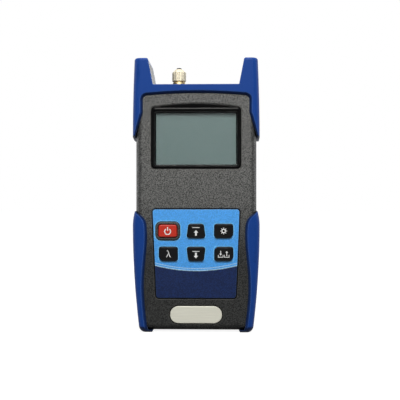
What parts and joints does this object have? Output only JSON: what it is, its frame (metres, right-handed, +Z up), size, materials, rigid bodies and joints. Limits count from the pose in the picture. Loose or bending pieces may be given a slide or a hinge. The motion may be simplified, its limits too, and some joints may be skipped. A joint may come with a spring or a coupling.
{
  "type": "optical power meter",
  "caption": "Handheld optical power meter: grey case in blue rubber boots, display, sprung keys, capped fibre port between two horns, battery cover.",
  "frame": {"origin": "on the floor under the middle of the meter, which stands on its lower boots", "axes": "+Z up the meter's length, display facing -Y, +X to the right seen from the display"},
  "size_m": [0.0926, 0.043, 0.2],
  "materials": {
    "case": "fine moulded grain, satin",
    "rubber": "satin blue rubber",
    "gloss_black": "gloss black",
    "clear": "clear polished",
    "display_glass": "grey-green liquid-crystal cell",
    "overlay": "light blue and navy film, satin",
    "red_key": "red, satin",
    "black_key": "black, satin",
    "plate": "satin silver, domed",
    "black_plastic": "black",
    "white_plastic": "white",
    "board": "green solder mask",
    "screw_steel": "zinc plated",
    "contact": "nickel plated",
    "brass": "turned brass",
    "nickel": "nickel-plated, fluted",
    "ceramic": "ground",
    "cell": "printed sleeve on a metal can"
  },
  "bodies": {
    "meter": {"front_case": "case", "rear_case": "case", "top_boot": "rubber", "left_boot": "rubber", "right_boot": "rubber", "display_bezel": "gloss_black", "display_window": "clear", "lcd_glass": "display_glass", "lcd_holder": "black_plastic", "keypad_overlay": "overlay", "nameplate": "plate", "main_board": "board", "key_switches": "black_plastic", "board_screws": "screw_steel", "case_screws": "screw_steel", "battery_contacts": "contact", "port_flange": "brass", "port_barrel": "brass", "port_sleeve": "ceramic", "port_nut": "screw_steel", "detector": "contact", "battery_left": "cell", "battery_middle": "cell", "battery_right": "cell"},
    "cover": {"battery_cover": "case", "cover_screw": "screw_steel"},
    "cap": {"dust_cap": "nickel", "cap_tip": "black_plastic"},
    "power_button": {"power_key": "red_key"},
    "up_button": {"up_key": "black_key"},
    "lamp_button": {"lamp_key": "black_key"},
    "wavelength_button": {"wavelength_key": "black_key"},
    "down_button": {"down_key": "black_key"},
    "memory_button": {"memory_key": "black_key"}
  },
  "joints": [
    {"name": "power_press", "type": "slide", "parent": "meter", "child": "power_button", "axis": [0, 1, 0], "range_m": [0, 0.0008], "stiffness_N_per_m": 400},
    {"name": "up_press", "type": "slide", "parent": "meter", "child": "up_button", "axis": [0, 1, 0], "range_m": [0, 0.0008], "stiffness_N_per_m": 400},
    {"name": "lamp_press", "type": "slide", "parent": "meter", "child": "lamp_button", "axis": [0, 1, 0], "range_m": [0, 0.0008], "stiffness_N_per_m": 400},
    {"name": "wavelength_press", "type": "slide", "parent": "meter", "child": "wavelength_button", "axis": [0, 1, 0], "range_m": [0, 0.0008], "stiffness_N_per_m": 400},
    {"name": "down_press", "type": "slide", "parent": "meter", "child": "down_button", "axis": [0, 1, 0], "range_m": [0, 0.0008], "stiffness_N_per_m": 400},
    {"name": "memory_press", "type": "slide", "parent": "meter", "child": "memory_button", "axis": [0, 1, 0], "range_m": [0, 0.0008], "stiffness_N_per_m": 400},
    {"name": "cap_lift", "type": "slide", "parent": "meter", "child": "cap", "axis": [0, 0, 1], "range_m": [0, 0.06]},
    {"name": "cover_release", "type": "slide", "parent": "meter", "child": "cover", "axis": [0, 1, 0], "range_m": [0, 0.03]}
  ]
}
